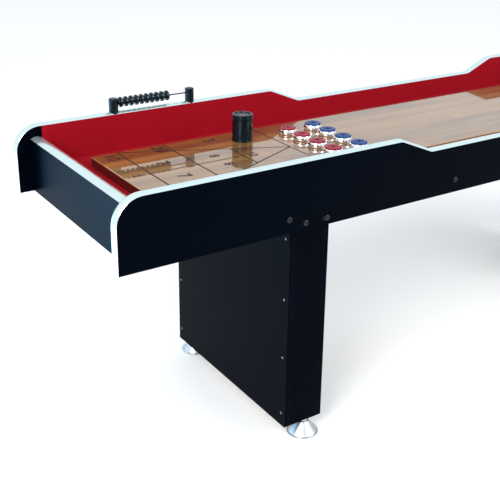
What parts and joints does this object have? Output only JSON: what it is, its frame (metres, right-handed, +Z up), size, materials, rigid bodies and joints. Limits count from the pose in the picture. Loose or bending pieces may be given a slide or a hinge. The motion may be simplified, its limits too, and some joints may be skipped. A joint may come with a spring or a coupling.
{
  "type": "shuffleboard table",
  "caption": "Long shuffleboard table with lowered middle sides, box legs on levelling feet, bead scorer, pucks and wax can.",
  "frame": {"origin": "on the floor, under the middle of the table", "axes": "+X along the table towards the right end, +Y to the back side that carries the scorer, +Z up"},
  "size_m": [2.7548, 0.679, 0.9051],
  "materials": {
    "black_laminate": "satin",
    "silver_trim": "gloss",
    "red_felt": "matte",
    "playfield_wood": "gloss",
    "plain_board": "matte",
    "bright_steel": "satin",
    "black_steel": "satin",
    "black_plastic": "gloss",
    "chrome_steel": "gloss",
    "red_plastic": "gloss",
    "blue_plastic": "gloss"
  },
  "bodies": {
    "table": {"back_side_panel": "black_laminate", "back_side_trim": "silver_trim", "cabinet_floor": "plain_board", "crossbeams": "plain_board", "end_linings": "red_felt", "frame_bolts": "black_steel", "front_side_panel": "black_laminate", "front_side_trim": "silver_trim", "gutter_carpet": "red_felt", "left_end_panel": "black_laminate", "left_end_trim": "silver_trim", "left_leg_inner_face": "black_laminate", "left_leg_outer_face": "black_laminate", "left_leg_rails": "plain_board", "left_leg_side_boards": "black_laminate", "leg_screws": "bright_steel", "leveller_inserts": "bright_steel", "playfield": "playfield_wood", "right_end_panel": "black_laminate", "right_end_trim": "silver_trim", "right_leg_inner_face": "black_laminate", "right_leg_outer_face": "black_laminate", "right_leg_rails": "plain_board", "right_leg_side_boards": "black_laminate", "scorer_left_post": "black_plastic", "scorer_right_post": "black_plastic", "scorer_rod": "bright_steel", "side_linings": "red_felt"},
    "left_front_foot": {"left_front_leveller": "bright_steel"},
    "left_back_foot": {"left_back_leveller": "bright_steel"},
    "right_front_foot": {"right_front_leveller": "bright_steel"},
    "right_back_foot": {"right_back_leveller": "bright_steel"},
    "bead_01": {"scorer_bead_01": "black_plastic"},
    "bead_02": {"scorer_bead_02": "black_plastic"},
    "bead_03": {"scorer_bead_03": "black_plastic"},
    "bead_04": {"scorer_bead_04": "black_plastic"},
    "bead_05": {"scorer_bead_05": "black_plastic"},
    "bead_06": {"scorer_bead_06": "black_plastic"},
    "bead_07": {"scorer_bead_07": "black_plastic"},
    "bead_08": {"scorer_bead_08": "black_plastic"},
    "bead_09": {"scorer_bead_09": "black_plastic"},
    "bead_10": {"scorer_bead_10": "black_plastic"},
    "red_puck_1": {"red_puck_weight_1": "chrome_steel", "red_puck_cap_1": "red_plastic"},
    "red_puck_2": {"red_puck_weight_2": "chrome_steel", "red_puck_cap_2": "red_plastic"},
    "red_puck_3": {"red_puck_weight_3": "chrome_steel", "red_puck_cap_3": "red_plastic"},
    "red_puck_4": {"red_puck_weight_4": "chrome_steel", "red_puck_cap_4": "red_plastic"},
    "blue_puck_1": {"blue_puck_weight_1": "chrome_steel", "blue_puck_cap_1": "blue_plastic"},
    "blue_puck_2": {"blue_puck_weight_2": "chrome_steel", "blue_puck_cap_2": "blue_plastic"},
    "blue_puck_3": {"blue_puck_weight_3": "chrome_steel", "blue_puck_cap_3": "blue_plastic"},
    "blue_puck_4": {"blue_puck_weight_4": "chrome_steel", "blue_puck_cap_4": "blue_plastic"},
    "can": {"wax_can": "black_plastic"},
    "can_lid": {"wax_can_lid": "black_plastic"}
  },
  "joints": [
    {"name": "left_front_foot_height", "type": "slide", "parent": "table", "child": "left_front_foot", "axis": [0, 0, -1], "range_m": [0, 0.02]},
    {"name": "left_back_foot_height", "type": "slide", "parent": "table", "child": "left_back_foot", "axis": [0, 0, -1], "range_m": [0, 0.02]},
    {"name": "right_front_foot_height", "type": "slide", "parent": "table", "child": "right_front_foot", "axis": [0, 0, -1], "range_m": [0, 0.02]},
    {"name": "right_back_foot_height", "type": "slide", "parent": "table", "child": "right_back_foot", "axis": [0, 0, -1], "range_m": [0, 0.02]},
    {"name": "bead_01_slide", "type": "slide", "parent": "table", "child": "bead_01", "axis": [1, 0, 0], "range_m": [0, 0.0568]},
    {"name": "bead_02_slide", "type": "slide", "parent": "table", "child": "bead_02", "axis": [1, 0, 0], "range_m": [0, 0.0568]},
    {"name": "bead_03_slide", "type": "slide", "parent": "table", "child": "bead_03", "axis": [1, 0, 0], "range_m": [0, 0.0568]},
    {"name": "bead_04_slide", "type": "slide", "parent": "table", "child": "bead_04", "axis": [1, 0, 0], "range_m": [0, 0.0568]},
    {"name": "bead_05_slide", "type": "slide", "parent": "table", "child": "bead_05", "axis": [1, 0, 0], "range_m": [0, 0.0568]},
    {"name": "bead_06_slide", "type": "slide", "parent": "table", "child": "bead_06", "axis": [1, 0, 0], "range_m": [0, 0.0568]},
    {"name": "bead_07_slide", "type": "slide", "parent": "table", "child": "bead_07", "axis": [1, 0, 0], "range_m": [0, 0.0568]},
    {"name": "bead_08_slide", "type": "slide", "parent": "table", "child": "bead_08", "axis": [1, 0, 0], "range_m": [0, 0.0568]},
    {"name": "bead_09_slide", "type": "slide", "parent": "table", "child": "bead_09", "axis": [1, 0, 0], "range_m": [0, 0.0568]},
    {"name": "bead_10_slide", "type": "slide", "parent": "table", "child": "bead_10", "axis": [1, 0, 0], "range_m": [0, 0.0568]},
    {"name": "red_puck_1_glide", "type": "slide", "parent": "table", "child": "red_puck_1", "axis": [1, 0, 0], "range_m": [-0.097, 0]},
    {"name": "red_puck_2_glide", "type": "slide", "parent": "table", "child": "red_puck_2", "axis": [1, 0, 0], "range_m": [-0.583, 0]},
    {"name": "red_puck_3_glide", "type": "slide", "parent": "table", "child": "red_puck_3", "axis": [1, 0, 0], "range_m": [-0.583, 0]},
    {"name": "red_puck_4_glide", "type": "slide", "parent": "table", "child": "red_puck_4", "axis": [1, 0, 0], "range_m": [-0.583, 0]},
    {"name": "blue_puck_1_glide", "type": "slide", "parent": "table", "child": "blue_puck_1", "axis": [1, 0, 0], "range_m": [0, 1.64]},
    {"name": "blue_puck_2_glide", "type": "slide", "parent": "table", "child": "blue_puck_2", "axis": [1, 0, 0], "range_m": [0, 1.64]},
    {"name": "blue_puck_3_glide", "type": "slide", "parent": "table", "child": "blue_puck_3", "axis": [1, 0, 0], "range_m": [0, 1.64]},
    {"name": "blue_puck_4_glide", "type": "slide", "parent": "table", "child": "blue_puck_4", "axis": [1, 0, 0], "range_m": [0, 1.64]},
    {"name": "can_lift", "type": "slide", "parent": "table", "child": "can", "axis": [0, 0, 1], "range_m": [0, 0.15]},
    {"name": "lid_lift", "type": "slide", "parent": "can", "child": "can_lid", "axis": [0, 0, 1], "range_m": [0, 0.05]}
  ],
  "couplings": [
    {"joint": "bead_01_slide", "follows": "bead_10_slide", "ratio": 1},
    {"joint": "bead_02_slide", "follows": "bead_10_slide", "ratio": 1},
    {"joint": "bead_03_slide", "follows": "bead_10_slide", "ratio": 1},
    {"joint": "bead_04_slide", "follows": "bead_10_slide", "ratio": 1},
    {"joint": "bead_05_slide", "follows": "bead_10_slide", "ratio": 1},
    {"joint": "bead_06_slide", "follows": "bead_10_slide", "ratio": 1},
    {"joint": "bead_07_slide", "follows": "bead_10_slide", "ratio": 1},
    {"joint": "bead_08_slide", "follows": "bead_10_slide", "ratio": 1},
    {"joint": "bead_09_slide", "follows": "bead_10_slide", "ratio": 1}
  ]
}
